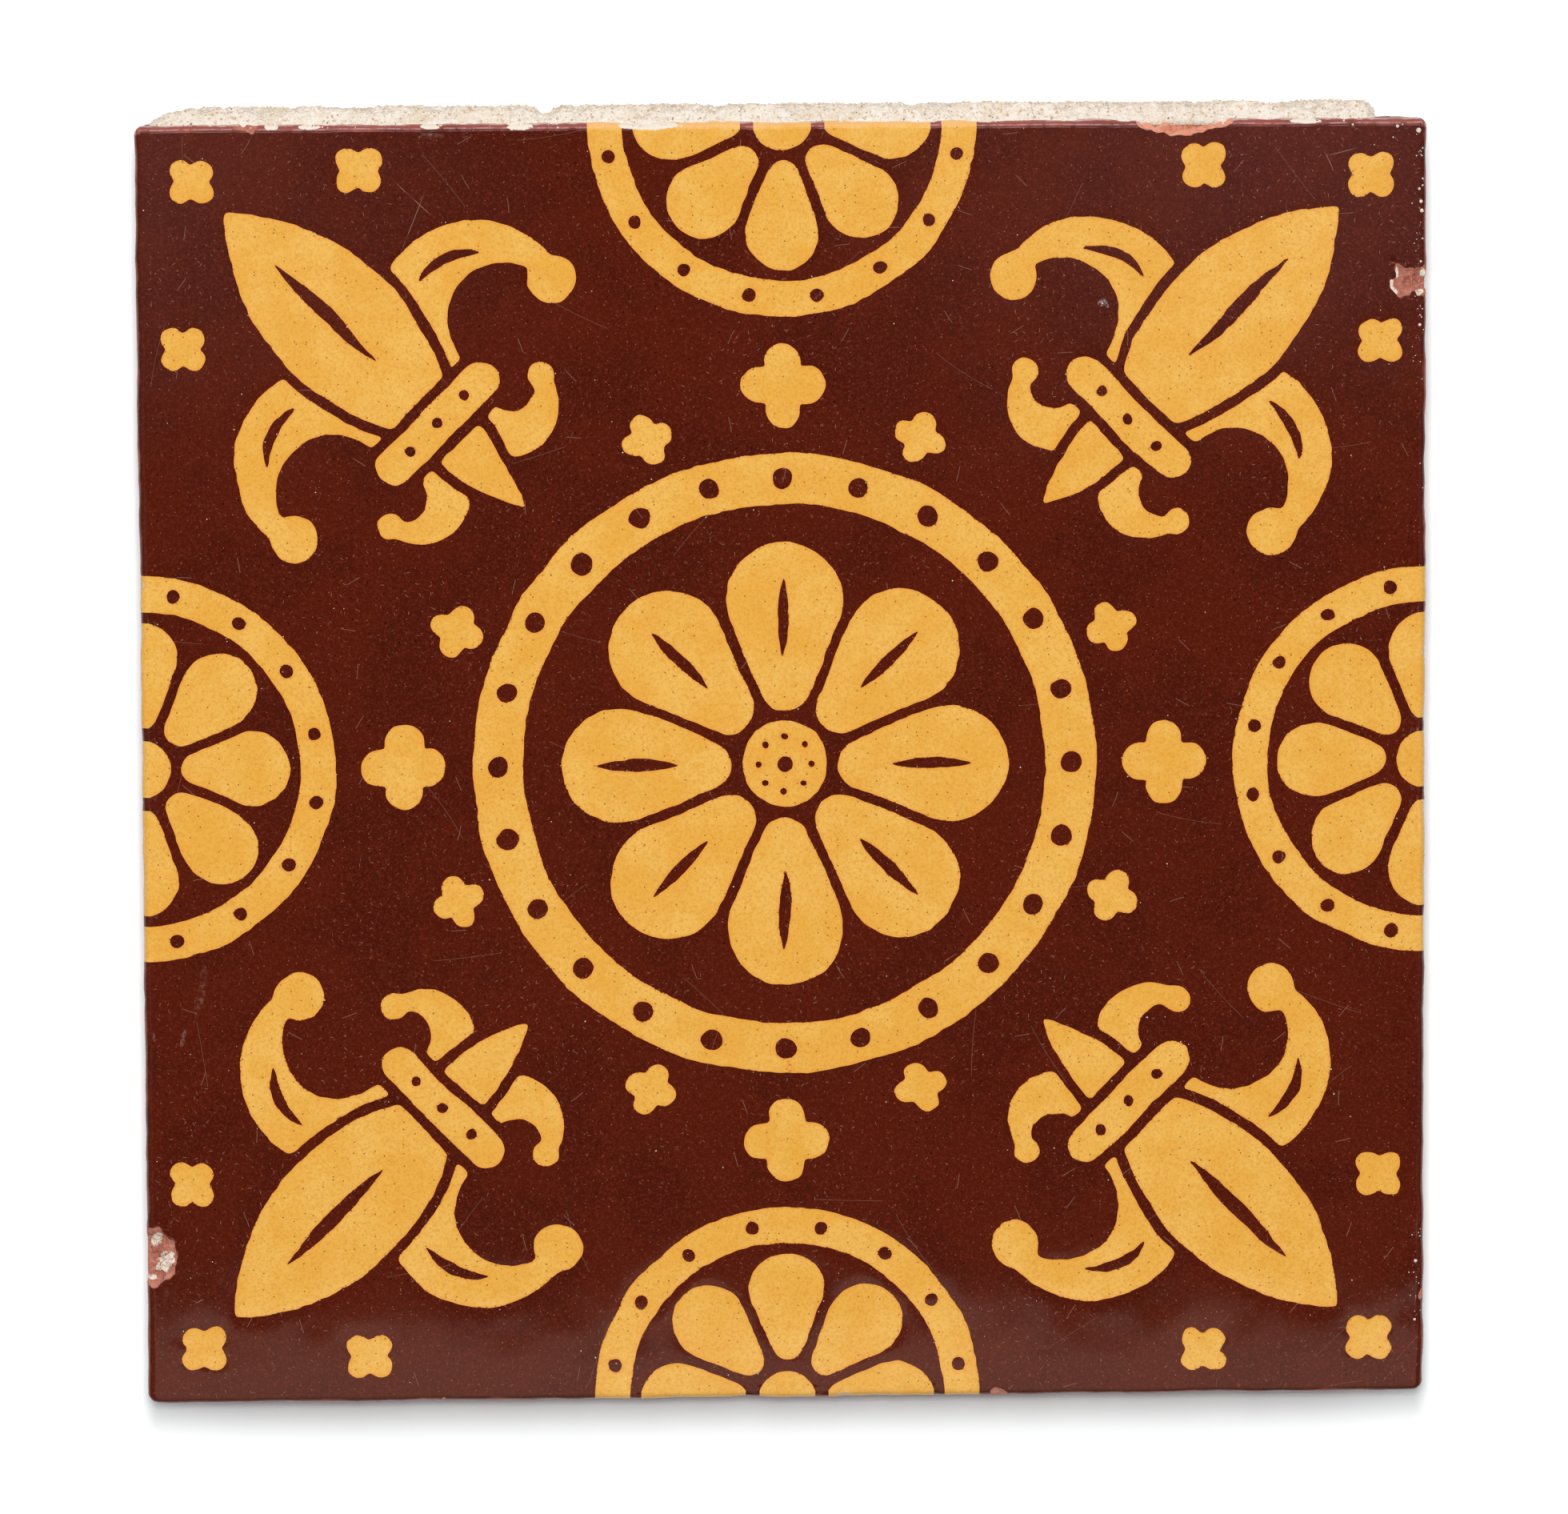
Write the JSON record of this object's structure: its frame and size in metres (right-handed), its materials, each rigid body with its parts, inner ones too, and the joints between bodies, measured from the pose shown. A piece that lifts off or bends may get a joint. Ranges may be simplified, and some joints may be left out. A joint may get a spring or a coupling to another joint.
{
  "type": "encaustic tile",
  "caption": "Square glazed floor tile of red clay with a buff inlaid pattern, undercut sides, keying pockets in the back and old mortar on one side.",
  "frame": {"origin": "centre of the tile's back, on the flat between the keying pockets", "axes": "+Z is the outward normal of the patterned face, and the tile lies face up on its back; +Y points to the side that carries old mortar; +X points to the right of the face with +Y up"},
  "size_m": [0.1522, 0.1539, 0.0254],
  "materials": {
    "red_clay": "gloss",
    "buff_clay": "gloss",
    "mortar": "matte"
  },
  "bodies": {
    "root": {"tile_body": "red_clay", "inlay_rosette": "buff_clay", "inlay_ring": "buff_clay", "inlay_roundel_east": "buff_clay", "inlay_roundel_north": "buff_clay", "inlay_roundel_west": "buff_clay", "inlay_roundel_south": "buff_clay", "inlay_fleur_ne": "buff_clay", "inlay_fleur_nw": "buff_clay", "inlay_fleur_sw": "buff_clay", "inlay_fleur_se": "buff_clay", "inlay_quatrefoils": "buff_clay", "mortar_residue": "mortar"}
  },
  "joints": []
}
